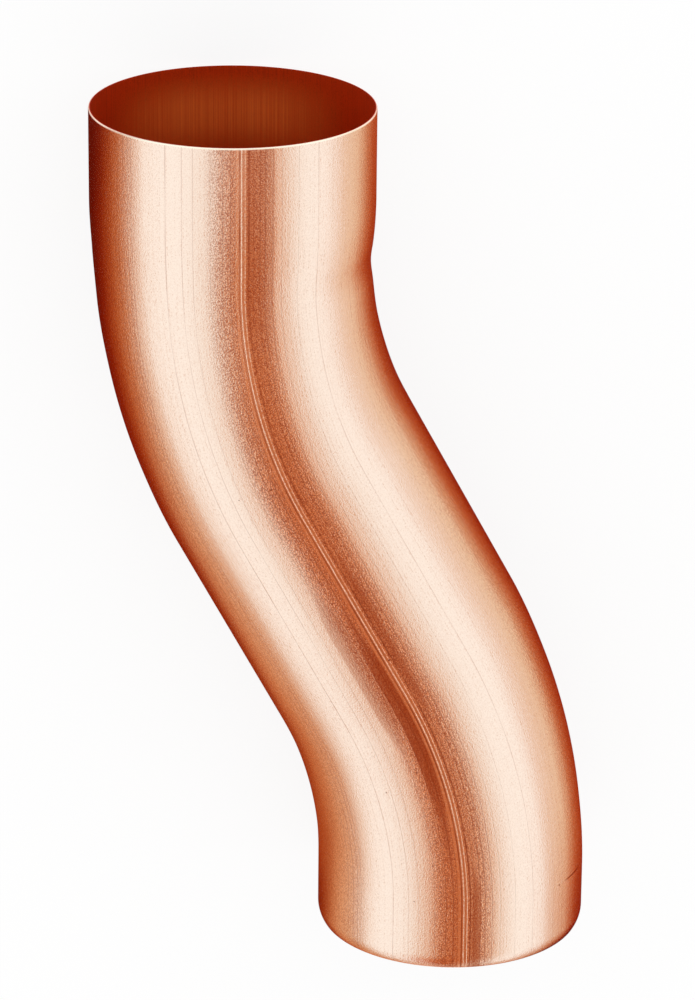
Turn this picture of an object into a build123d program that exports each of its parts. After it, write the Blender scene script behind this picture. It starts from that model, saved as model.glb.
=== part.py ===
"""Offset bend for a round copper downpipe.

One piece of seam-welded copper tube, bent twice so that its two ends stay parallel. The inlet is
widened to a socket, and the outlet is a spigot with a rolled-in lip. Millimetres.

The tube can't stand on its spigot, because its weight lies too far to the side, so it lies flat:
+Z is up, both ends run along Y with the socket's mouth at +Y, and the weld seam is on top. The
origin is the centre of its outline from above, on the surface that it lies on. The tube is built
upright first, with the spigot's mouth at the origin and its ends along Z, and then laid down.
"""

from build123d import *
from dataclasses import dataclass
from math import asin, cos, degrees, radians, sin, sqrt
import os

# Sheet and tube
wall = 0.6
tube_bore_d = 100.0

# Weld seam, a low rounded bead outside
seam_width = 1.2
seam_height = 0.15

# Spigot, the lower end
lip_height = 5.3
lip_inset = 1.6
spigot_straight = 17.0

# The two bends and the run between them
bend_radius = 190.0
bend_angle = 28.4
middle_run = 80.0

# Bending leaves the tube slightly oval: narrower in the plane of the bend, wider across it
oval_narrowing = 0.35
oval_widening = 0.5
oval_run = 24.0

# Socket, the upper end
socket_depth = 34.0
socket_gap = 0.95
taper_straight = 17.0
taper_turn = 4.8

# Cuts along the two formed ends, and along each bend
formed_steps = 6
bend_steps = 16

# Sizes that follow from the ones above
tube_r = tube_bore_d / 2 + wall
socket_r = tube_r + socket_gap + wall
lip_round = (lip_height**2 + lip_inset**2) / (2 * lip_inset)
seam_round = (seam_width**2 / 4 + seam_height**2) / (2 * seam_height)


@dataclass
class Station:
    """A place on the upright tube's centre line: x, z, and how many degrees it leans from +Z towards -X."""

    x: float
    z: float
    lean: float

    def plane(self):
        """The plane across the tube here, with its y along +Y."""
        a = radians(self.lean)
        return Plane(origin=(self.x, 0, self.z), x_dir=(cos(a), 0, sin(a)), z_dir=(-sin(a), 0, cos(a)))

    def ahead(self, length):
        """The place further up a straight run."""
        a = radians(self.lean)
        return Station(self.x - length * sin(a), self.z + length * cos(a), self.lean)

    def turned(self, turn):
        """The place further up a bend that leans the tube over by turn degrees, or back if it is negative."""
        a = radians(self.lean)
        b = radians(self.lean + turn)
        side = 1 if turn > 0 else -1
        x = self.x - side * bend_radius * (cos(a) - cos(b))
        z = self.z + side * bend_radius * (sin(b) - sin(a))
        return Station(x, z, self.lean + turn)


def eased(share):
    """A share from 0 to 1 with a soft start and end."""
    return share**2 * (3 - 2 * share)


def section(outer_r, oval=0.0):
    """The tube cut across: the sheet's ring, round or oval, with the bead of the weld on its -y side."""
    x_r = outer_r - oval * oval_narrowing
    y_r = outer_r + oval * oval_widening
    bead = Pos(0, -(y_r + seam_height - seam_round)) * Circle(seam_round)
    if not oval:
        return Circle(outer_r) + bead - Circle(outer_r - wall)
    # Ellipse takes the long radius first, so it is drawn along x and turned
    outside = Rot(0, 0, 90) * Ellipse(y_r, x_r)
    inside = Rot(0, 0, 90) * Ellipse(y_r - wall, x_r - wall)
    return outside + bead - inside


def straight(start, length, outer_r):
    """A straight length of the tube."""
    return extrude(start.plane() * section(outer_r), amount=length)


def formed(stations, sections):
    """A length of the tube whose section changes, through a list of cuts."""
    return loft([s.plane() * cut for s, cut in zip(stations, sections)])


def bend(start, turn):
    """A length of the tube bent about an axis beside it, by turn degrees. It goes oval, stays so, and
    comes back round."""
    length = bend_radius * radians(abs(turn))
    stations = []
    sections = []
    for k in range(bend_steps + 1):
        share = k / bend_steps
        from_end = length * min(share, 1 - share)
        stations.append(start.turned(turn * share) if k else start)
        sections.append(section(tube_r, eased(min(from_end / oval_run, 1))))
    return formed(stations, sections)


def rolled_lip():
    """The spigot's end, rolled in along a round arc."""
    heights = [lip_height * k / formed_steps for k in range(formed_steps + 1)]
    radii = [tube_r - lip_round + sqrt(lip_round**2 - (lip_height - z) ** 2) for z in heights]
    return formed([Station(0, z, 0) for z in heights], [section(r) for r in radii])


def socket_taper(start):
    """The widening below the socket: first along the end of the upper bend, then straight."""
    arc_length = bend_radius * radians(taper_turn)
    length = arc_length + taper_straight
    stations = []
    sections = []
    for k in range(formed_steps + 1):
        s = length * k / formed_steps
        on_arc = min(s, arc_length)
        turn = -degrees(on_arc / bend_radius)
        at = start.turned(turn) if on_arc > 0 else start
        stations.append(at.ahead(s - on_arc))
        sections.append(section(tube_r + (socket_r - tube_r) * eased(s / length)))
    return formed(stations, sections)


def upright_tube():
    """The whole piece, from the spigot's mouth up to the socket's, and the place of the socket's mouth."""
    spigot_start = Station(0, lip_height, 0)
    spigot_top = spigot_start.ahead(spigot_straight)
    lower_bend_top = spigot_top.turned(bend_angle)
    middle_top = lower_bend_top.ahead(middle_run)
    upper_bend_top = middle_top.turned(taper_turn - bend_angle)
    socket_start = upper_bend_top.turned(-taper_turn).ahead(taper_straight)
    mouth = socket_start.ahead(socket_depth)

    piece = rolled_lip()
    piece += straight(spigot_start, spigot_straight, tube_r)
    piece += bend(spigot_top, bend_angle)
    piece += straight(lower_bend_top, middle_run, tube_r)
    piece += bend(middle_top, taper_turn - bend_angle)
    piece += socket_taper(upper_bend_top)
    piece += straight(socket_start, socket_depth, socket_r)
    return piece, mouth


def laid_down(piece, mouth):
    """The tube lying on its plain side, with the seam up and the middle of its outline over the origin."""
    across = (-mouth.x + socket_r - tube_r) / 2
    return Pos(across, -mouth.z / 2, socket_r) * Rot(-90, 0, 0) * piece


tube, mouth = upright_tube()
part = laid_down(tube, mouth)
os.makedirs("parts", exist_ok=True)
export_step(part, "parts/offset_bend.step")

print("offset between the ends", round(-mouth.x, 2), "height", round(mouth.z, 2))
print("socket bore radius", round(socket_r - wall, 3), "spigot radius", round(tube_r, 3))
print("lip leans in by", round(degrees(asin(lip_height / lip_round)), 1), "degrees at its edge")
print("solids", len(part.solids()), "valid", part.is_valid, "volume cm3", round(part.volume / 1000, 3))
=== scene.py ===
"""Looks of the copper downpipe offset bend: the formed tube, its finish, the set and the camera.

The tube lies flat with its weld seam on top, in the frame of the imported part: metres, +Z up, the
socket's mouth at +Y and the spigot at -Y. Its surface is a profile of the sheet carried along the
centre line of the two bends. The set is a pale floor under an even white sky. What the metal
mirrors is a light tent: two long panels above the tube, with a dark gap between them for the camera,
and a dark card on the floor.
"""

import logging
import math
from dataclasses import dataclass, field
from enum import Enum

import bpy
import numpy as np
from mathutils import Matrix, Vector


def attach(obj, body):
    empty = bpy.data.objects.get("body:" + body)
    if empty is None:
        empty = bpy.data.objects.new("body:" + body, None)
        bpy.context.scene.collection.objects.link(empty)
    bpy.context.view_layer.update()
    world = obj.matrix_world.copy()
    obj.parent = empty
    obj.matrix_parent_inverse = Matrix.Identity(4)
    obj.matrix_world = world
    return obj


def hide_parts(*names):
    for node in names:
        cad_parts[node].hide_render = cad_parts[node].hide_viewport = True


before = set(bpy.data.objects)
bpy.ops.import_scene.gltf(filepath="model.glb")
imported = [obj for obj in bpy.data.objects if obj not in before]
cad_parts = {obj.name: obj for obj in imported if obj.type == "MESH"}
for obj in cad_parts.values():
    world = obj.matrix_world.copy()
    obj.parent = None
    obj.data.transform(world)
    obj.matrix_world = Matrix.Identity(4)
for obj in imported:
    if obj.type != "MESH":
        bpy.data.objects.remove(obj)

MM = 0.001
TUBE_RADIUS_MM = 50.6
log = logging.getLogger("offset_bend")

Tree = bpy.types.NodeTree
Socket = bpy.types.NodeSocket
# A distance or height with an sRGB hex value, and x and z with one, or with none for the panel's white
Stops = tuple[tuple[float, str], ...]
Section = tuple[tuple[float, float, str | None], ...]


def linear(hex_colour: str) -> tuple[float, float, float]:
    """Linear red, green and blue of six hex digits: each sRGB part, 0 to 1, put through its curve."""
    parts = [int(hex_colour[k:k + 2], 16) / 255 for k in (0, 2, 4)]
    return tuple(p / 12.92 if p <= 0.04045 else ((p + 0.055) / 1.055) ** 2.4 for p in parts)


def glow(hex_colour: str, strength: float) -> tuple[float, float, float]:
    """The light that a surface gives off: the linear colour times a strength."""
    return tuple(strength * part for part in linear(hex_colour))


def eased(share: np.ndarray) -> np.ndarray:
    """A share cut to 0..1, with a soft start and end: share squared times (3 - 2 share)."""
    share = np.clip(share, 0.0, 1.0)
    return share**2 * (3 - 2 * share)


def add_node(tree: Tree, kind: str, inputs: dict | None = None, output: int | str = 0,
             **settings) -> Socket | None:
    """Adds a shader node.

    Args:
        tree: The node tree that gets the node.
        kind: The node's type, without the word ShaderNode in front.
        inputs: A value or an output socket for each input, by its name or number.
        output: The output that is wanted, by its name or number.
        settings: The node's own settings.

    Returns:
        That output, or nothing where the node has none.
    """
    node = tree.nodes.new("ShaderNode" + kind)
    for name, value in settings.items():
        setattr(node, name, value)
    for key, value in (inputs or {}).items():
        if isinstance(value, Socket):
            tree.links.new(value, node.inputs[key])
        else:
            node.inputs[key].default_value = value
    return node.outputs[output] if len(node.outputs) else None


def empty_material(name: str) -> bpy.types.Material:
    """A new material with an empty node tree.

    Args:
        name: The real finish that it stands for.

    Returns:
        The material.
    """
    material = bpy.data.materials.new(name)
    material.use_nodes = True
    material.node_tree.nodes.clear()
    return material


def grid_mesh(name: str, points: np.ndarray, closed: tuple[bool, bool]) -> bpy.types.Object:
    """Makes a mesh of four-sided faces from a grid of points.

    Args:
        name: The object's name.
        points: Rows by columns by 3, in metres. Columns run so that the faces point outwards.
        closed: Whether the last row meets the first, and whether the last column does.

    Returns:
        The object, at the origin, smooth shaded.
    """
    rows, columns = points.shape[:2]
    i = np.arange(rows if closed[0] else rows - 1)[:, None]
    j = np.arange(columns if closed[1] else columns - 1)[None, :]
    here, after = i * columns, (i + 1) % rows * columns
    right = (j + 1) % columns
    faces = np.stack([here + j, here + right, after + right, after + j], -1).reshape(-1, 4)
    mesh = bpy.data.meshes.new(name)
    mesh.from_pydata(points.reshape(-1, 3), [], faces)
    mesh.polygons.foreach_set("use_smooth", np.ones(len(faces), bool))
    mesh.update()
    piece = bpy.data.objects.new(name, mesh)
    bpy.context.scene.collection.objects.link(piece)
    return piece


class Face(Enum):
    """The faces of the sheet, by the number of their material on the tube."""

    OUTSIDE = 0
    INSIDE = 1
    CUT_EDGE_AND_HIGHLIGHT = 2


@dataclass(frozen=True)
class DrawLine:
    """A fine line that the forming tool scored along the whole tube: its angle from the seam towards +X
    and its half width, in degrees, and how dark it is from 0 to 1."""

    angle: float
    half_width: float
    depth: float


@dataclass(frozen=True)
class Pit:
    """A small dark pit: millimetres from the socket's mouth, angle from the seam, radius in mm."""

    along: float
    angle: float
    radius: float


@dataclass(frozen=True)
class Stain:
    """A long smooth stain, pointed at both ends, partly heat tint and partly painted shade: where along the
    tube it starts, is full, starts to fade and ends, in mm; its angle from the seam and half width in
    degrees; and how dark it is."""

    along: tuple[float, float, float, float]
    angle: float
    half_width: float
    depth: float


@dataclass(frozen=True)
class Scratch:
    """A thin line across the tube: millimetres from the socket's mouth, half its width in mm, the angles
    where it starts and ends, the degrees over which each end fades, and how dark it is."""

    along: float
    half_width: float
    start: float
    end: float
    fade: float
    depth: float


@dataclass(frozen=True)
class Patterns:
    """What the parts of a finish share: its node tree, and sockets with the place on the straightened tube
    in mm, the angle from the seam in degrees, the distance from the socket's mouth in mm, and noises."""

    tree: Tree
    tube: Socket
    angle: Socket
    along: Socket
    streaks: Socket
    grain: Socket
    swell: Socket

    def degrees_from(self, angle: float) -> Socket:
        """How many degrees around the tube each place is from an angle, to either side."""
        offset = add_node(self.tree, "Math", {0: self.angle, 1: -angle}, operation="ADD")
        return add_node(self.tree, "Math", {0: offset}, operation="ABSOLUTE")

    def within(self, share: float | Socket, source: Socket, ends: tuple[tuple[float, float], ...],
               blend: str = "LINEAR") -> Socket:
        """Fades a share out at the ends of a range.

        Args:
            share: What is faded.
            source: The angle or the distance that the range is on.
            ends: Where it is gone and where it is full, for each end.
            blend: How each end fades.

        Returns:
            The share times how far each place is within the range.
        """
        for gone, full in ends:
            part = add_node(self.tree, "MapRange", {0: source, 1: gone, 2: full}, interpolation_type=blend)
            share = add_node(self.tree, "Math", {0: share, 1: part}, operation="MULTIPLY")
        return share


@dataclass(frozen=True)
class MillCopper:
    """Mill-finish rolled copper sheet: a soft mirror, pink in the light and red-brown in the dark. Its
    grain gives bright spots a sandy edge, and fine lines run along the tube from forming."""

    name: str = "mill-finish rolled copper sheet"
    metal: str = "fbd8cb"
    tarnish: str = "c87c52"
    grazing: str = "e8a890"
    metallic: float = 1.0
    roughness: float = 0.17
    roughness_change: float = 0.10
    # Width around the tube and length along it of one cell of each pattern, coarse enough to show
    streak_mm: tuple[float, float] = (0.55, 240.0)
    grain_mm: tuple[float, float] = (0.5, 0.6)
    swell_mm: tuple[float, float] = (13.0, 260.0)
    streak_depth_mm: float = 0.03
    grain_depth_mm: float = 0.125
    swell_depth_mm: float = 0.3
    noise_roughness: float = 0.55
    tarnish_from: float = 0.55
    tarnish_to: float = 0.90

    def pattern(self, tree: Tree, tube: Socket, size: tuple[float, float], detail: float) -> Socket:
        """Noise that is stretched over the straightened tube.

        Args:
            tree: The finish's node tree.
            tube: The place on the straightened tube, in mm.
            size: Width around the tube and length along it of one cell, in mm.
            detail: How many finer layers the noise has.

        Returns:
            The noise, from 0 to 1.
        """
        width, length = size
        stretched = add_node(tree, "VectorMath", {0: tube, 1: (1 / width, 1 / width, 1 / length)},
                             operation="MULTIPLY")
        return add_node(tree, "TexNoise", {"Vector": stretched, "Scale": 1.0, "Detail": detail,
                                           "Roughness": self.noise_roughness})

    def patterns(self, tree: Tree) -> Patterns:
        """Reads the mesh's own coordinates and makes the noises from them.

        Args:
            tree: The finish's node tree.

        Returns:
            What the parts of the finish share.
        """
        tube = add_node(tree, "Attribute", output="Vector", attribute_name="tube_mm")
        x, y, along = add_node(tree, "SeparateXYZ", {0: tube}).node.outputs
        turn = add_node(tree, "Math", {0: x, 1: y}, operation="ARCTAN2")
        angle = add_node(tree, "Math", {0: turn}, operation="DEGREES")
        noises = [self.pattern(tree, tube, size, detail) for size, detail in
                  ((self.streak_mm, 3.0), (self.grain_mm, 2.0), (self.swell_mm, 1.0))]
        return Patterns(tree, tube, angle, along, *noises)

    def tinted(self, found: Patterns) -> Socket:
        """The sheet's colour: clean metal, tarnished where grain and streaks are both high.

        Args:
            found: The shared sockets.

        Returns:
            The colour.
        """
        tree = found.tree
        marks = add_node(tree, "Math", {0: found.streaks, 1: found.grain}, operation="ADD")
        share = add_node(tree, "MapRange", {0: marks, 1: 2 * self.tarnish_from, 2: 2 * self.tarnish_to})
        return add_node(tree, "Mix", {0: share, 6: (*linear(self.metal), 1),
                                      7: (*linear(self.tarnish), 1)}, 2, data_type="RGBA")

    def material(self) -> bpy.types.Material:
        """The finish: one metal shader with the patterns in its colour, roughness and bump.

        Returns:
            The material, named for the real finish.
        """
        material = empty_material(self.name)
        tree = material.node_tree
        found = self.patterns(tree)
        height = add_node(tree, "Math", {0: found.streaks, 1: self.streak_depth_mm}, operation="MULTIPLY")
        for source, depth in ((found.grain, self.grain_depth_mm), (found.swell, self.swell_depth_mm)):
            height = add_node(tree, "Math", {0: source, 1: depth, 2: height}, operation="MULTIPLY_ADD")
        bump = add_node(tree, "Bump", {"Height": height, "Distance": MM, "Strength": 1.0})
        least = self.roughness - self.roughness_change / 2
        rough = add_node(tree, "Math", {0: found.streaks, 1: self.roughness_change, 2: least},
                         operation="MULTIPLY_ADD")
        shader = add_node(tree, "BsdfPrincipled", {
            "Base Color": self.tinted(found), "Metallic": self.metallic, "Roughness": rough,
            "Specular Tint": (*linear(self.grazing), 1), "Normal": bump})
        add_node(tree, "OutputMaterial", {"Surface": shader})
        return material


@dataclass(frozen=True)
class FormedCopper(MillCopper):
    """The same sheet on the outside, with what making the tube left on it: draw lines, a brushed and
    darkened strip right of the weld, smooth stains beside it, pits and a scratch. The strip and stains
    are partly heat tint and partly painted shade, and specks crowd as painted shade where it mirrors dark."""

    scored: str = "9a4a24"
    # The stain colour darkens the strip and stains beside the weld: partly heat tint, partly painted shade
    stain: str = "bd7450"
    # The specks' dark red deepens the bands that mirror dark: painted shade over real grain
    speck: str = "a64716"
    draw_lines: tuple[DrawLine, ...] = tuple(DrawLine(*line) for line in (
        (-56.0, 0.3, 0.3), (-52.7, 0.3, 0.35), (-50.0, 0.3, 0.35), (-48.0, 0.25, 0.3),
        (-31.5, 0.35, 0.45), (-24.5, 0.3, 0.35), (-20.0, 0.3, 0.3), (-13.0, 0.3, 0.25),
        (-8.2, 0.35, 0.4), (-5.1, 0.4, 0.5), (-3.2, 0.25, 0.3), (-1.55, 0.45, 0.9), (0.0, 0.6, 0.3),
        (2.1, 0.6, 0.75), (4.0, 0.25, 0.35), (6.5, 0.35, 0.5), (8.6, 0.3, 0.55), (11.7, 0.3, 0.4),
        (15.5, 0.3, 0.25), (22.5, 0.25, 0.2), (31.5, 0.3, 0.35)))
    pits: tuple[Pit, ...] = (
        Pit(129.0, -6.9, 0.5), Pit(209.0, 0.7, 0.5), Pit(256.0, -10.7, 0.35), Pit(297.5, -13.0, 0.35),
        Pit(314.0, -22.0, 0.35), Pit(262.5, -26.5, 0.4), Pit(129.0, -21.5, 0.3), Pit(316.5, 48.0, 0.45))
    # Stains in the dark band along the weld: partly heat tint, partly painted shade
    stains: tuple[Stain, ...] = (
        Stain((172.0, 215.0, 250.0, 320.0), -5.6, 2.9, 0.78),
        Stain((160.0, 190.0, 228.0, 258.0), -12.5, 3.8, 0.4),
        Stain((140.0, 185.0, 222.0, 246.0), 4.2, 1.9, 0.5),
        Stain((294.0, 312.0, 342.0, 352.0), 4.7, 1.9, 0.6))
    scratch: Scratch = Scratch(along=316.3, half_width=0.28, start=52.0, end=70.0, fade=4.0, depth=0.8)
    # Draw lines are broken up by noise: its cells per mm, where they start to show and show fully, and
    # how much of a line is always left
    break_scale: float = 0.05
    break_range: tuple[float, float] = (0.35, 0.6)
    break_least: float = 0.45
    # Degrees past a stain's side where it ends and where it is full, and the share of a pit's radius
    # that is fully dark
    stain_side: tuple[float, float] = (0.4, -0.6)
    pit_core: float = 0.4
    # The strip right of the weld, partly heat tint and partly painted shade over the band that mirrors the
    # dark gap: the degrees over which each side comes in, the millimetres over which the strip fades, what
    # is left beyond, and its strength
    strip_sides: tuple[tuple[float, float], ...] = ((12.4, 11.8), (0.9, 1.4))
    strip_fading: tuple[float, float] = (95.0, 55.0)
    strip_beyond: float = 0.15
    strip_strength: float = 0.3
    # Specks are this large, and show in the noise from one value to the other
    sand_mm: tuple[float, float] = (0.42, 0.5)
    sand_range: tuple[float, float] = (0.42, 0.62)
    # How strong specks are everywhere, and how much stronger beside the weld's middle: degrees from it
    # where that starts and is full, then the same at each side of the tube with its share. These are the
    # bands that mirror the tent's dark, so the extra specks there are painted shade.
    speck_least: float = 0.08
    speck_shade_more: float = 0.58
    weld_middle: float = -1.0
    speck_shade_band: tuple[float, float] = (15.0, 9.0)
    speck_shade_sides: tuple[tuple[float, float, float], ...] = ((-44.0, -49.0, 0.55), (54.0, 66.0, 0.5))
    # The bead is wiped clean: degrees from its middle where that ends, and the share of specks on it
    bead_edge: tuple[float, float] = (1.9, 2.3)
    bead_share: float = 0.25

    def scored_lines(self, found: Patterns) -> Socket:
        """The draw lines: a peak over the angle for each line, broken up along it.

        Args:
            found: The shared sockets.

        Returns:
            How marked each place is, from 0 to 1.
        """
        tree, marks = found.tree, 0.0
        for line in self.draw_lines:
            peak = add_node(tree, "MapRange", {0: found.degrees_from(line.angle), 1: line.half_width,
                                               2: 0.0, 4: line.depth})
            marks = add_node(tree, "Math", {0: marks, 1: peak}, operation="MAXIMUM")
        noise = add_node(tree, "TexNoise", {"Vector": found.tube, "Scale": self.break_scale, "Detail": 2.0})
        start, full = self.break_range
        kept = add_node(tree, "MapRange", {0: noise, 1: start, 2: full, 3: self.break_least, 4: 1.0})
        return add_node(tree, "Math", {0: marks, 1: kept}, operation="MULTIPLY")

    def pitted(self, found: Patterns) -> Socket:
        """The pits: a soft dot around each one's place on the straightened tube.

        Args:
            found: The shared sockets.

        Returns:
            How marked each place is, from 0 to 1.
        """
        tree, marks = found.tree, 0.0
        for pit in self.pits:
            turn = math.radians(pit.angle)
            at = (TUBE_RADIUS_MM * math.sin(turn), TUBE_RADIUS_MM * math.cos(turn), pit.along)
            away = add_node(tree, "VectorMath", {0: found.tube, 1: at}, "Value", operation="DISTANCE")
            dot = add_node(tree, "MapRange", {0: away, 1: pit.radius, 2: pit.radius * self.pit_core})
            marks = add_node(tree, "Math", {0: marks, 1: dot}, operation="MAXIMUM")
        return marks

    def scratched(self, found: Patterns) -> Socket:
        """The scratch near the spigot: a thin line across the tube that fades at both ends.

        Args:
            found: The shared sockets.

        Returns:
            How marked each place is, from 0 to 1.
        """
        tree, cut = found.tree, self.scratch
        line = add_node(tree, "Math", {0: found.along, 1: cut.along, 2: cut.half_width},
                        operation="COMPARE")
        line = found.within(line, found.angle, ((cut.start, cut.start + cut.fade),
                                                (cut.end, cut.end - cut.fade)))
        return add_node(tree, "Math", {0: line, 1: cut.depth}, operation="MULTIPLY")

    def weld_strip_and_shade(self, found: Patterns) -> Socket:
        """The darker strip right of the weld, partly heat tint and partly painted shade: sharp-edged by the
        socket, fading out along the tube.

        Args:
            found: The shared sockets.

        Returns:
            How marked each place is, from 0 to 1.
        """
        tree = found.tree
        start, full = self.strip_fading
        strip = add_node(tree, "MapRange", {0: found.along, 1: start, 2: full, 3: self.strip_beyond,
                                            4: 1.0}, interpolation_type="SMOOTHSTEP")
        strip = found.within(strip, found.angle, self.strip_sides)
        return add_node(tree, "Math", {0: strip, 1: self.strip_strength}, operation="MULTIPLY")

    def specks(self, found: Patterns) -> Socket:
        """Dark specks like fine sand: few where the panels' highlights fall, and many beside the weld and at
        the sides, where the tube mirrors dark, as painted shade.

        Args:
            found: The shared sockets.

        Returns:
            How marked each place is, from 0 to 1.
        """
        tree = found.tree
        aside = found.degrees_from(self.weld_middle)
        start, full = self.speck_shade_band
        many = add_node(tree, "MapRange", {0: aside, 1: start, 2: full})
        for start, full, most in self.speck_shade_sides:
            side = add_node(tree, "MapRange", {0: found.angle, 1: start, 2: full, 4: most})
            many = add_node(tree, "Math", {0: many, 1: side}, operation="MAXIMUM")
        share = add_node(tree, "Math", {0: many, 1: self.speck_shade_more, 2: self.speck_least},
                         operation="MULTIPLY_ADD")
        start, full = self.bead_edge
        off_bead = add_node(tree, "MapRange", {0: aside, 1: start, 2: full, 3: self.bead_share})
        share = add_node(tree, "Math", {0: share, 1: off_bead}, operation="MULTIPLY")
        start, full = self.sand_range
        sand = self.pattern(tree, found.tube, self.sand_mm, detail=1.0)
        sand = add_node(tree, "MapRange", {0: sand, 1: start, 2: full})
        return add_node(tree, "Math", {0: sand, 1: share}, operation="MULTIPLY")

    def stained_and_shaded(self, found: Patterns) -> Socket:
        """The stains beside the weld, partly heat tint and partly painted shade: each one's width grows and
        shrinks along the tube.

        Args:
            found: The shared sockets.

        Returns:
            How marked each place is, from 0 to 1.
        """
        tree, marks = found.tree, 0.0
        for stain in self.stains:
            start, full, falling, end = stain.along
            width = found.within(1.0, found.along, ((start, full), (end, falling)), "SMOOTHSTEP")
            reach = add_node(tree, "Math", {0: width, 1: stain.half_width}, operation="MULTIPLY")
            over = add_node(tree, "Math", {0: found.degrees_from(stain.angle), 1: reach},
                            operation="SUBTRACT")
            none, most = self.stain_side
            inside = add_node(tree, "MapRange", {0: over, 1: none, 2: most, 4: stain.depth})
            inside = add_node(tree, "Math", {0: inside, 1: width}, operation="MULTIPLY")
            marks = add_node(tree, "Math", {0: marks, 1: inside}, operation="MAXIMUM")
        return marks

    def tinted(self, found: Patterns) -> Socket:
        """The sheet's colour, with the strip and the stains, the specks and the scored marks over it.

        Args:
            found: The shared sockets.

        Returns:
            The colour.
        """
        colour = super().tinted(found)
        for over, parts in ((self.stain, (self.weld_strip_and_shade, self.stained_and_shaded)), (self.speck, (self.specks,)),
                            (self.scored, (self.scored_lines, self.pitted, self.scratched))):
            share = 0.0
            for part in parts:
                share = add_node(found.tree, "Math", {0: share, 1: part(found)}, operation="MAXIMUM")
            colour = add_node(found.tree, "Mix", {0: share, 6: colour, 7: (*linear(over), 1)}, 2,
                              data_type="RGBA")
        return colour


@dataclass(frozen=True)
class InnerCopper(MillCopper):
    """The inside, duller, in a dark red that is painted shade of the tube's hollow, with a warmer patch on
    the wall opposite the weld that is a painted pool of light. It is partly matt, because light bounces
    more often in the tube than a mirror-like metal is followed."""

    name: str = "dull copper sheet, as it left the mill"
    # The metal and tarnish colours here are dark reds that paint the shade inside the tube
    metal: str = "c43608"
    tarnish: str = "7a1c02"
    metallic: float = 0.45
    roughness: float = 0.42
    grain_depth_mm: float = 0.02
    tarnish_from: float = 0.45
    # The warm colour paints a pool of light on the inside wall
    warm: str = "f27630"
    # The warm patch, a painted pool of light on the wall opposite the weld: degrees from the seam and
    # millimetres from the mouth where it starts and is full, its strength, and how much the streaks in it
    # are raised
    light_pool_turn: tuple[float, float] = (118.0, 165.0)
    light_pool_ends: tuple[tuple[float, float], ...] = ((1.0, 17.0), (38.0, 20.0))
    light_pool_strength: float = 0.8
    light_pool_streaks: float = 1.9

    def tinted(self, found: Patterns) -> Socket:
        """The sheet's colour, and the warm patch over it, up to 38 mm into the socket: a painted pool of
        light.

        Args:
            found: The shared sockets.

        Returns:
            The colour.
        """
        tree = found.tree
        start, full = self.light_pool_turn
        share = add_node(tree, "MapRange", {0: found.degrees_from(0.0), 1: start, 2: full,
                                            4: self.light_pool_strength}, interpolation_type="SMOOTHSTEP")
        share = found.within(share, found.along, self.light_pool_ends, "SMOOTHSTEP")
        share = add_node(tree, "Math", {0: share, 1: found.streaks}, operation="MULTIPLY")
        share = add_node(tree, "Math", {0: share, 1: self.light_pool_streaks}, operation="MULTIPLY",
                         use_clamp=True)
        return add_node(tree, "Mix", {0: share, 6: super().tinted(found), 7: (*linear(self.warm), 1)}, 2,
                        data_type="RGBA")


# Bare metal, filed smooth, in a near-white colour that is partly a painted highlight: the thin pale
# line around the socket's mouth
CUT_EDGE_AND_HIGHLIGHT = MillCopper(name="deburred cut edge of copper sheet", metal="fff0e0", tarnish="f6cba8",
                      metallic=0.8, roughness=0.35, grain_depth_mm=0.01, swell_depth_mm=0.0)


@dataclass(frozen=True)
class CentreLine:
    """The tube's centre line, measured in millimetres from the socket's mouth: a straight run, a bend, a
    slanted run, the bend back and a straight run."""

    mouth: tuple[float, float, float] = (-41.115, 162.2045, 52.15)
    first_straight: float = 51.0
    bend_radius: float = 190.0
    bend_angle: float = math.radians(28.4)
    middle_run: float = 80.0

    @property
    def bend_length(self) -> float:
        """Length of one bend along the centre line."""
        return self.bend_radius * self.bend_angle

    @property
    def second_bend(self) -> float:
        """Where the second bend starts."""
        return self.first_straight + self.bend_length + self.middle_run

    def turned(self, along: np.ndarray) -> tuple[np.ndarray, np.ndarray]:
        """How far each bend has turned at each place.

        Args:
            along: Distances from the socket's mouth, in mm.

        Returns:
            The first bend's turn and the second's, in radians.
        """
        first = np.clip(along - self.first_straight, 0, self.bend_length) / self.bend_radius
        second = np.clip(along - self.second_bend, 0, self.bend_length) / self.bend_radius
        return first, second

    def at(self, along: np.ndarray) -> np.ndarray:
        """Points on the centre line.

        Args:
            along: Distances from the socket's mouth, in mm.

        Returns:
            One row of x, y, z for each. Straight runs add their length in their own direction, and a bend
            through an angle adds radius times the change of the angle's cosine and sine.
        """
        radius, full = self.bend_radius, self.bend_angle
        first, second = self.turned(along)
        middle = np.clip(along - self.second_bend + self.middle_run, 0, self.middle_run)
        straight = (np.minimum(along, self.first_straight)
                    + np.maximum(along - self.second_bend - self.bend_length, 0))
        x = radius * (1 - np.cos(first)) + middle * math.sin(full)
        x += radius * (np.cos(full - second) - math.cos(full))
        y = straight + radius * np.sin(first) + middle * math.cos(full)
        y += radius * (math.sin(full) - np.sin(full - second))
        return np.stack([self.mouth[0] + x, self.mouth[1] - y, np.full_like(x, self.mouth[2])], -1)

    def side(self, along: np.ndarray) -> np.ndarray:
        """The direction across the tube in the plane of the bends.

        Args:
            along: Distances from the socket's mouth, in mm.

        Returns:
            One row of x, y, z for each.
        """
        first, second = self.turned(along)
        lean = first - second
        return np.stack([np.cos(lean), np.sin(lean), np.zeros_like(lean)], -1)


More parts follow.
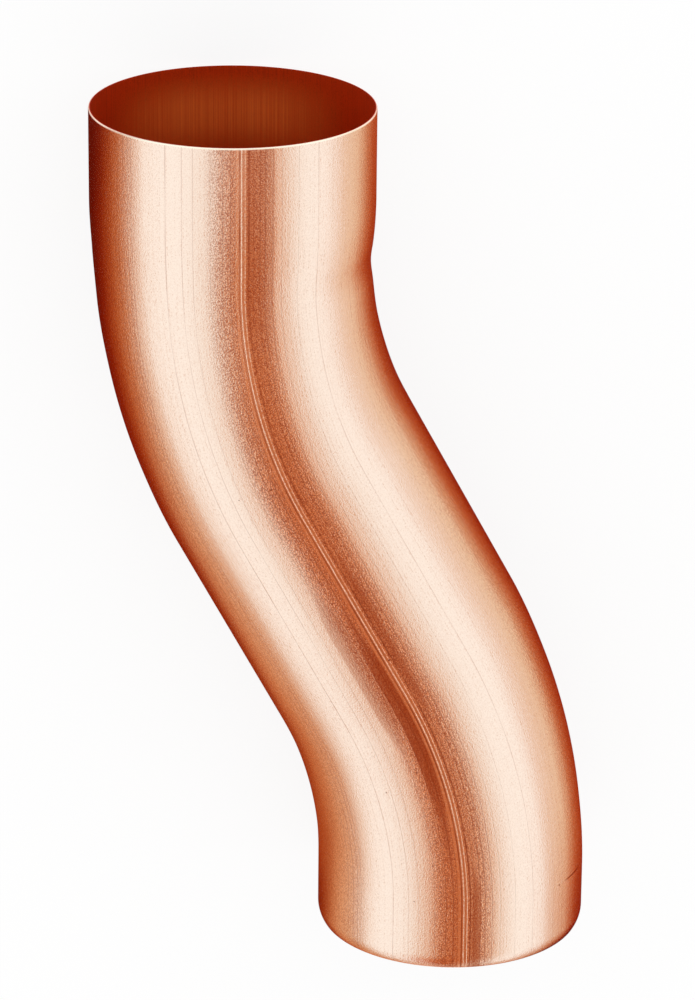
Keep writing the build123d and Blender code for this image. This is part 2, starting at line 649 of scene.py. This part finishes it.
@dataclass
class OffsetBend:
    """The formed tube: socket, taper, two bends, spigot with a rolled-in lip, and the bead of the weld."""

    line: CentreLine = field(default_factory=CentreLine)
    finishes: dict[Face, MillCopper] = field(default_factory=lambda: {
        Face.OUTSIDE: FormedCopper(), Face.INSIDE: InnerCopper(), Face.CUT_EDGE_AND_HIGHLIGHT: CUT_EDGE_AND_HIGHLIGHT})
    wall: float = 0.6
    tube_r: float = TUBE_RADIUS_MM
    socket_r: float = 52.15
    socket_depth: float = 34.0
    taper_end: float = 66.917
    spigot_straight: float = 17.0
    lip_height: float = 5.3
    lip_inset: float = 1.6
    oval_narrowing: float = 0.35
    oval_widening: float = 0.5
    oval_run: float = 24.0
    # A slight waist on the inner side of the first bend, where the taper ends
    waist_at: float = 59.0
    waist_run: float = 8.5
    waist_depth: float = 0.55
    # Rounding of the socket's deburred rim, outside and inside, and of the lip's edge, and how far from
    # that edge the inside's finish ends
    rim_outer_round: float = 0.48
    rim_outer_run: float = 0.85
    rim_inner_round: float = 0.1
    lip_round: float = 0.2
    lip_edge: float = 1.0
    # The bead: a low flat strip with a fine ridge along each side, the right one lower
    bead_half_width: float = 0.6
    bead_height: float = 0.03
    bead_soft: float = 0.2
    ridge_at: float = 0.6
    ridge_width: float = 0.13
    ridge_heights: tuple[float, float] = (0.058, 0.034)
    # Columns of the mesh around the tube: mm apart over the bead and how far from the seam that goes,
    # then these degrees, then evenly from and by these degrees
    bead_step: float = 0.06
    bead_reach: float = 1.05
    widening: tuple[float, ...] = (1.4, 1.9, 2.6, 3.5, 4.6, 6.0)
    even_from: int = 8
    even_step: int = 2
    # Rows of the mesh along the tube, in mm: those nearest to the rim outside and inside, where even ones
    # start, how far they keep from the lip's rounding outside and inside, and how far they are apart
    rim_row_outside: float = 1.3
    rim_row_inside: float = 0.6
    even_rows_from: float = 2.0
    lip_gap_outside: float = 0.4
    lip_gap_inside: float = 0.3
    lip_step_outside: float = 0.7
    lip_step_inside: float = 0.9
    step_outside: float = 1.9
    step_inside: float = 3.8
    round_points: int = 6

    @property
    def lip_start(self) -> float:
        """Where the spigot starts to roll in."""
        return self.line.second_bend + self.line.bend_length + self.spigot_straight

    @property
    def length(self) -> float:
        """Length of the whole centre line."""
        return self.lip_start + self.lip_height

    def outer_radius(self, along: np.ndarray) -> np.ndarray:
        """The tube's outer radius: the socket's, eased down the taper to the tube's, and along the lip the
        tube's less what a round arc takes off.

        Args:
            along: Distances from the socket's mouth, in mm.

        Returns:
            The radius at each, in mm.
        """
        down = eased((along - self.socket_depth) / (self.taper_end - self.socket_depth))
        radius = self.socket_r + (self.tube_r - self.socket_r) * down
        arc = (self.lip_height**2 + self.lip_inset**2) / (2 * self.lip_inset)
        past = np.maximum(along - self.lip_start, 0)
        return radius - arc + np.sqrt(arc**2 - past**2)

    def oval(self, along: np.ndarray) -> np.ndarray:
        """How far the tube is oval: eased up and down at both ends of each bend.

        Args:
            along: Distances from the socket's mouth, in mm.

        Returns:
            A share from 0 to 1 for each.
        """
        share = np.zeros_like(along)
        for start, end in ((self.taper_end, self.line.first_straight + self.line.bend_length),
                           (self.line.second_bend, self.line.second_bend + self.line.bend_length)):
            share = np.maximum(share, eased(np.minimum(along - start, end - along) / self.oval_run))
        return share

    def waist(self, along: np.ndarray, around: np.ndarray) -> np.ndarray:
        """The waist's depth: a bell curve along the tube times the squared sine, on the inner side."""
        bell = np.exp(-((along - self.waist_at) / self.waist_run) ** 2)
        return self.waist_depth * bell[:, None] * np.maximum(np.sin(around), 0) ** 2

    def bead(self, off_seam: np.ndarray) -> np.ndarray:
        """The bead's height over the tube: a flat strip with soft sides, and a bell curve for each ridge.

        Args:
            off_seam: Distances around the tube from the seam, in mm.

        Returns:
            The height at each, in mm.
        """
        inside = self.bead_half_width + self.bead_soft / 2 - np.abs(off_seam)
        height = self.bead_height * eased(inside / self.bead_soft)
        for place, tall in zip((-self.ridge_at, self.ridge_at), self.ridge_heights):
            height = height + tall * np.exp(-((off_seam - place) / self.ridge_width) ** 2)
        return height

    def angles(self) -> np.ndarray:
        """Angles around the tube from the seam, close together over the bead.

        Returns:
            Radians that grow from just over -pi to pi.
        """
        bead = np.arange(0, self.bead_reach, self.bead_step) / self.tube_r
        even = np.radians(np.arange(self.even_from, 180, self.even_step))
        half = np.r_[bead[1:], np.radians(self.widening), even]
        return np.r_[-half[::-1], 0.0, half, math.pi]

    def profile(self) -> tuple[np.ndarray, np.ndarray]:
        """The sheet's outline from the lip up the outside, over the rim, down the inside and around the lip.

        Returns:
            Distances from the socket's mouth, and depths below the outer surface, in mm. Each edge is a
            quarter circle.
        """
        turn = np.linspace(0, math.pi / 2, self.round_points)
        back, drop = 1 - np.sin(turn), 1 - np.cos(turn)
        outer, inner, lip, wall = self.rim_outer_round, self.rim_inner_round, self.lip_round, self.wall
        first, last = self.even_rows_from, self.length - lip
        outside = np.r_[last - self.lip_gap_outside:self.lip_start:-self.lip_step_outside,
                        self.lip_start:first:-self.step_outside, self.rim_row_outside]
        inside = np.r_[self.rim_row_inside, first:self.lip_start:self.step_inside,
                       self.lip_start:last - self.lip_gap_inside:self.lip_step_inside]
        along = np.r_[outside, self.rim_outer_run * back, inner * back[::-1], inside,
                      self.length - lip * back, self.length - lip * back[::-1]]
        depth = np.r_[np.zeros(len(outside)), outer * drop, wall - inner * drop[::-1],
                      np.full(len(inside), wall), wall - lip * drop, lip * drop[::-1]]
        return along, depth

    def build(self) -> bpy.types.Object:
        """The tube's mesh: every profile point carried around the centre line.

        Returns:
            The object, with its UV map in metres of sheet and the attribute tube_mm, which holds x, y
            around and z along the tube in mm as if it were straight.
        """
        along, depth = self.profile()
        around = self.angles()
        radius = self.outer_radius(along) - depth
        oval = self.oval(along)
        outer = 1 - np.clip(depth / self.lip_round, 0, 1)
        dent = self.waist(along, around)
        across = (radius - self.oval_narrowing * oval)[:, None] - dent
        up = (radius + self.oval_widening * oval)[:, None] - dent
        up = up + outer[:, None] * self.bead(around * self.tube_r)
        points = (self.line.at(along)[:, None, :]
                  + (across * np.sin(around))[..., None] * self.line.side(along)[:, None, :])
        points[..., 2] += up * np.cos(around)
        piece = grid_mesh("offset_bend_tube", points * MM, (True, True))

        straight = np.stack([radius[:, None] * np.sin(around), radius[:, None] * np.cos(around),
                             np.broadcast_to(along[:, None], (len(along), len(around)))], -1)
        tube = piece.data.attributes.new("tube_mm", "FLOAT_VECTOR", "POINT")
        tube.data.foreach_set("vector", straight.astype(np.float32).ravel())
        self.lay_out_sheet(piece, along, depth, around)
        # The inside's finish starts half way over the rim and ends before the lip's edge. Its dark red over
        # the rim's inner half paints the shade along the mouth's far edge, and the pale cut edge on the
        # outer half paints the bright line along the near edge.
        inside_and_rim_shade = (depth > self.rim_outer_round / 2) & (along < self.length - self.lip_edge)
        filed_edge_and_highlight = (depth > 0) & (along < self.rim_outer_run)
        face = np.select([inside_and_rim_shade, filed_edge_and_highlight], [Face.INSIDE.value, Face.CUT_EDGE_AND_HIGHLIGHT.value], Face.OUTSIDE.value)
        piece.data.polygons.foreach_set("material_index", np.repeat(face, len(around)).astype(np.int32))
        return piece

    def lay_out_sheet(self, piece: bpy.types.Object, along: np.ndarray, depth: np.ndarray,
                      around: np.ndarray) -> None:
        """Adds the UV map: metres around from the seam, and metres along, the inside beyond the outside.

        Args:
            piece: The tube's object.
            along: The profile's distances from the socket's mouth, in mm.
            depth: Its depths below the outer surface, in mm.
            around: The mesh's angles from the seam, in radians.
        """
        step = np.hypot(np.diff(along, append=along[:1]), np.diff(depth, append=depth[:1]))
        run = np.r_[0, np.cumsum(step)]
        order = np.r_[around, around[0] + 2 * math.pi] * self.tube_r
        i = np.arange(len(along))[:, None, None]
        j = np.arange(len(around))[None, :, None]
        u = order[j + np.array([0, 1, 1, 0])] + 0 * i
        v = run[i + np.array([0, 0, 1, 1])] + 0 * j
        layer = piece.data.uv_layers.new(name="sheet")
        layer.data.foreach_set("uv", (np.stack([u, v], -1) * MM).astype(np.float32).ravel())

    def dress(self, piece: bpy.types.Object) -> None:
        """Gives the tube its finishes and its place in the part.

        Args:
            piece: The tube's object.
        """
        for face in Face:
            piece.data.materials.append(self.finishes[face].material())
        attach(piece, "root")
        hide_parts("offset_bend")


@dataclass(frozen=True)
class WhiteFloor:
    """Matt white paper sweep: no shine, so it shows only light and the tube's soft shadow. A share of its
    white doesn't depend on the light, so that the background stays white and the shadow pale."""

    colour: str = "ffffff"
    own_white: float = 0.85

    def material(self) -> bpy.types.Material:
        """The paper's finish.

        Returns:
            The material.
        """
        material = empty_material("matt white paper")
        tree = material.node_tree
        white = (*linear(self.colour), 1)
        paper = add_node(tree, "BsdfPrincipled", {"Base Color": white, "Roughness": 1.0,
                                                  "Specular IOR Level": 0.0})
        own = add_node(tree, "Emission", {"Color": white, "Strength": 1.0})
        ray = add_node(tree, "LightPath").node.outputs
        seen = ray["Is Camera Ray"]
        for kind in ("Is Glossy Ray", "Is Transmission Ray"):
            seen = add_node(tree, "Math", {0: seen, 1: ray[kind]}, operation="MAXIMUM")
        share = add_node(tree, "Math", {0: seen, 1: self.own_white}, operation="MULTIPLY")
        both = add_node(tree, "MixShader", {0: share, 1: paper, 2: own})
        add_node(tree, "OutputMaterial", {"Surface": both})
        return material


def ramp(distance: np.ndarray, stops: Stops) -> np.ndarray:
    """Colours that change with distance, straight from one stop to the next.

    Args:
        distance: Distances in metres, of any shape.
        stops: Distances that grow, each with an sRGB hex value.

    Returns:
        The same shape with linear red, green and blue added as the last axis.
    """
    places = [place for place, _ in stops]
    colours = np.array([linear(colour) for _, colour in stops])
    return np.stack([np.interp(distance, places, colours[:, k]) for k in range(3)], -1)


@dataclass(frozen=True)
class MouthPatch:
    """White on the floor in front of one mouth of the tube, in metres: +1 or -1 for the end along Y, where
    it starts, how softly, its middle and half width along X, and how soft its sides are."""

    end: int
    start: float
    soft_start: float
    middle: float
    half_width: float
    soft_sides: float

    def share(self, x: np.ndarray, y: np.ndarray) -> np.ndarray:
        """How white each place is: a soft step along Y times a soft step in from each side."""
        along = eased((self.end * y - self.start) / self.soft_start)
        return along * eased((self.half_width - np.abs(x - self.middle)) / self.soft_sides)


@dataclass
class LightTent:
    """What the metal mirrors: cards that glow, seen only in reflections. Their light goes from white in the
    panels through peach and rust to dark brown between and under them."""

    half_length: float = 1.6
    half_width: float = 0.8
    roof_height: float = 0.332
    card_height: float = 0.0006
    panel: tuple[str, float] = ("e9fbf9", 1.3)
    edge_colours: tuple[str, ...] = ("f6fff6", "e9d3b1", "e1b589", "df9e6c", "cf804d")
    # Four places along Y: where the left and right panel's edge fades out, and the dark between them
    edge_y: tuple[float, ...] = (0.07, -0.12, -0.25, -0.60)
    left_edge: tuple[tuple[float, ...], ...] = (
        (-0.108, -0.098, -0.084, -0.050, -0.020), (-0.158, -0.130, -0.104, -0.080, -0.052),
        (-0.085, -0.062, -0.032, -0.008, 0.015), (-0.420, -0.360, -0.300, -0.240, -0.180))
    right_edge: tuple[tuple[float, ...], ...] = (
        (0.155, 0.123, 0.100, 0.050, 0.020), (0.180, 0.158, 0.125, 0.105, 0.080),
        (0.250, 0.200, 0.150, 0.122, 0.090), (0.250, 0.200, 0.160, 0.120, 0.080))
    between: tuple[str, ...] = ("d58a59", "b85f31", "c06939", "c06939")
    behind_socket: float = 0.40
    # The roof's section to the left and to the right of those edges
    left_side: Section = (
        (-0.80, 0.0, "e2c19e"), (-0.80, 0.06, "e9d9bc"), (-0.80, 0.12, "f0e9d3"),
        (-0.78, 0.155, None), (-0.55, 0.27, None), (-0.25, 0.332, None))
    right_side: Section = (
        (0.33, 0.332, None), (0.55, 0.27, None), (0.78, 0.19, None),
        (0.80, 0.145, "fcfffe"), (0.80, 0.085, "e9d7bb"), (0.80, 0.06, "e8cbaa"), (0.80, 0.0, "e8cbaa"))
    # The floor card: its colours by distance, to the right, and to the left by the socket and the spigot
    floor_right: Stops = ((0.02, "71220f"), (0.06, "a1371c"), (0.10, "c56733"), (0.13, "d88a54"),
                          (0.165, "dcb07a"), (0.23, "f8f7db"), (0.40, "f3eed5"), (1.0, "e8cbaa"))
    floor_far: Stops = ((0.04, "6f1f0a"), (0.08, "8e290d"), (0.13, "a74112"), (0.175, "bf682e"),
                        (0.29, "cf854b"), (0.80, "dda674"), (1.2, "e2c19e"))
    floor_near: Stops = ((0.04, "641c0a"), (0.08, "81260d"), (0.13, "b35a27"), (0.165, "d39054"),
                         (0.20, "e2ae79"), (0.27, "e7c193"), (0.9, "e2c19e"))
    floor_front: str = "d6aa7e"
    floor_rows: int = 401
    floor_columns: int = 321
    mouths: tuple[MouthPatch, ...] = (MouthPatch(1, 0.150, 0.02, -0.02, 0.22, 0.05),
                                      MouthPatch(-1, 0.175, 0.02, 0.04, 0.055, 0.02))
    mouth_light: tuple[str, float] = ("ffffff", 1.2)
    # The two ends, from the floor up: height and colour
    end_light: Stops = ((0.0, "c2865d"), (0.12, "e2c19e"), (0.332, "eee8d1"))

    def add_card(self, name: str, points: np.ndarray, colours: np.ndarray) -> None:
        """Adds a card that is seen only in reflections. Its light blends between its points.

        Args:
            name: The card's name.
            points: Rows by columns by 3, in metres.
            colours: The light there, as linear red, green and blue.
        """
        card = grid_mesh(name, points, (False, False))
        layer = card.data.attributes.new("light", "FLOAT_VECTOR", "POINT")
        layer.data.foreach_set("vector", colours.astype(np.float32).ravel())
        material = empty_material(name + " light")
        material.cycles.emission_sampling = "NONE"
        tree = material.node_tree
        light = add_node(tree, "Attribute", output="Vector", attribute_name="light")
        emission = add_node(tree, "Emission", {"Color": light, "Strength": 1.0})
        add_node(tree, "OutputMaterial", {"Surface": emission})
        card.data.materials.append(material)
        for kind in ("camera", "diffuse", "shadow", "transmission", "volume_scatter"):
            setattr(card, "visible_" + kind, False)

    def build_roof(self) -> None:
        """Adds the roof and sides: a section of x and z for each place along Y, joined by straight runs."""
        bright = glow(*self.panel)
        edges = [linear(colour) for colour in self.edge_colours]
        high = self.roof_height
        left_side, right_side = ([(x, z, linear(colour) if colour else bright) for x, z, colour in side]
                                 for side in (self.left_side, self.right_side))
        rows = []
        for left, right, gap in zip(self.left_edge, self.right_edge, self.between):
            middle = (left[-1] + right[-1]) / 2
            rows.append([*left_side, *((x, high, c) for x, c in zip(left, edges)),
                         (middle, high, linear(gap)),
                         *((x, high, c) for x, c in reversed(list(zip(right, edges)))), *right_side])
        white = [(x, z, bright) for x, z, _ in rows[0]]
        rows = [white, white, *rows, rows[-1]]
        y = [self.half_length, self.behind_socket, *self.edge_y, -self.half_length]
        points = np.array([[(x, place, z) for x, z, _ in row] for place, row in zip(y, rows)])
        light = np.array([[colour for _, _, colour in row] for row in rows])
        self.add_card("tent_roof", points, light)

    def build_floor_card(self) -> None:
        """Adds the card just above the floor: dark under the tube, warm to the left and pale to the right.

        Its light is a ramp over x plus a share of y on the right, and one over the distance left of a
        slanted line on the left, and the lighter of the two holds. Both lines turn off before the spigot.
        It is white in front of each mouth of the tube.
        """
        x, y = np.meshgrid(np.linspace(-self.half_width, self.half_width, self.floor_columns),
                           np.linspace(-self.half_length, self.half_length, self.floor_rows))
        # How the two lines slant, and places along Y in metres: where the right line stops slanting, and
        # where it turns off and ends; where the left line steps aside, the spigot's colours and the front
        # start, and how long each of these takes
        right_slant, slant_end, turn_at, turn_end = 0.5, -0.07, -0.16, -0.25
        left_slant, step_aside = 0.76, 0.07
        (step_at, step_run), (near_at, near_run), (front_at, front_run) = (
            (-0.15, 0.04), (-0.03, 0.12), (-0.30, 0.10))
        slant = right_slant * np.maximum(y, slant_end) + np.clip(y - turn_at, turn_end - turn_at, 0)
        right = ramp(x + slant, self.floor_right)
        aside = -(x + left_slant * y) - step_aside * eased((step_at - y) / step_run)
        far, near = ramp(aside, self.floor_far), ramp(aside, self.floor_near)
        towards_spigot = eased((near_at - y) / near_run)[..., None]
        light = np.maximum(right, far + (near - far) * towards_spigot)
        front = eased((front_at - y) / front_run)[..., None]
        light = light + (np.array(linear(self.floor_front)) - light) * front
        mouth = sum(patch.share(x, y) for patch in self.mouths)[..., None]
        light = light + (np.array(glow(*self.mouth_light)) - light) * mouth
        points = np.stack([x, y, np.full_like(x, self.card_height)], -1)
        self.add_card("tent_floor", points, light)

    def build_ends(self) -> None:
        """Adds the two ends, warm below and soft white above."""
        x = np.array([[-self.half_width, self.half_width]] * len(self.end_light))
        z = np.array([[height] * 2 for height, _ in self.end_light])
        light = np.array([[linear(colour)] * 2 for _, colour in self.end_light])
        for name, y in (("tent_back", self.half_length), ("tent_front", -self.half_length)):
            self.add_card(name, np.stack([x, np.full_like(x, y), z], -1), light)

    def build(self) -> None:
        """Puts up the whole tent."""
        self.build_roof()
        self.build_floor_card()
        self.build_ends()


@dataclass
class Studio:
    """The floor, the white sky and the camera."""

    floor_half: float = 6.0
    sky: str = "ffffff"
    finish: WhiteFloor = field(default_factory=WhiteFloor)
    lens_mm: float = 180.14
    sensor_mm: float = 36.0
    far_m: float = 50.0
    place: tuple[float, float, float] = (-0.16736, 0.68296, 1.77984)
    ahead: tuple[float, float, float] = (0.09080925, -0.36210489, -0.92770347)
    upward: tuple[float, float, float] = (0.02575943, 0.93209475, -0.36129742)

    def build_floor(self) -> None:
        """Lays a flat square of paper at z = 0."""
        edge = np.array([-self.floor_half, self.floor_half])
        x, y = np.meshgrid(edge, edge)
        floor = grid_mesh("floor", np.stack([x, y, np.zeros_like(x)], -1), (False, False))
        floor.data.materials.append(self.finish.material())

    def light_sky(self) -> None:
        """Sets an even white sky, the plain soft light on the floor."""
        world = bpy.data.worlds.new("white studio")
        world.use_nodes = True
        tree = world.node_tree
        tree.nodes.clear()
        sky = add_node(tree, "Background", {"Color": (*linear(self.sky), 1), "Strength": 1.0})
        add_node(tree, "OutputWorld", {"Surface": sky})
        bpy.context.scene.world = world

    def set_camera(self) -> None:
        """Sets the camera where the photographer's stood: high over the tube, a little beyond the socket."""
        data = bpy.data.cameras.new("camera")
        data.sensor_fit = "VERTICAL"
        data.sensor_height = self.sensor_mm
        data.lens = self.lens_mm
        data.clip_end = self.far_m
        camera = bpy.data.objects.new("camera", data)
        back = -Vector(self.ahead).normalized()
        right = Vector(self.upward).cross(back).normalized()
        turn = Matrix((right, back.cross(right), back)).transposed()
        camera.matrix_world = Matrix.Translation(self.place) @ turn.to_4x4()
        bpy.context.scene.collection.objects.link(camera)
        bpy.context.scene.camera = camera


def main() -> None:
    """Builds the tube, the set and the camera."""
    logging.basicConfig(level=logging.INFO, format="%(name)s: %(message)s")
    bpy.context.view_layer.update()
    bpy.context.scene.view_settings.view_transform = "Standard"

    bend = OffsetBend()
    piece = bend.build()
    bend.dress(piece)
    log.info("%s: %d faces, %.1f mm along its centre line",
             piece.name, len(piece.data.polygons), bend.length)

    studio = Studio()
    studio.build_floor()
    studio.light_sky()
    studio.set_camera()
    LightTent().build()
    log.info("floor, light tent and camera are in place")


if __name__ == "__main__":
    main()
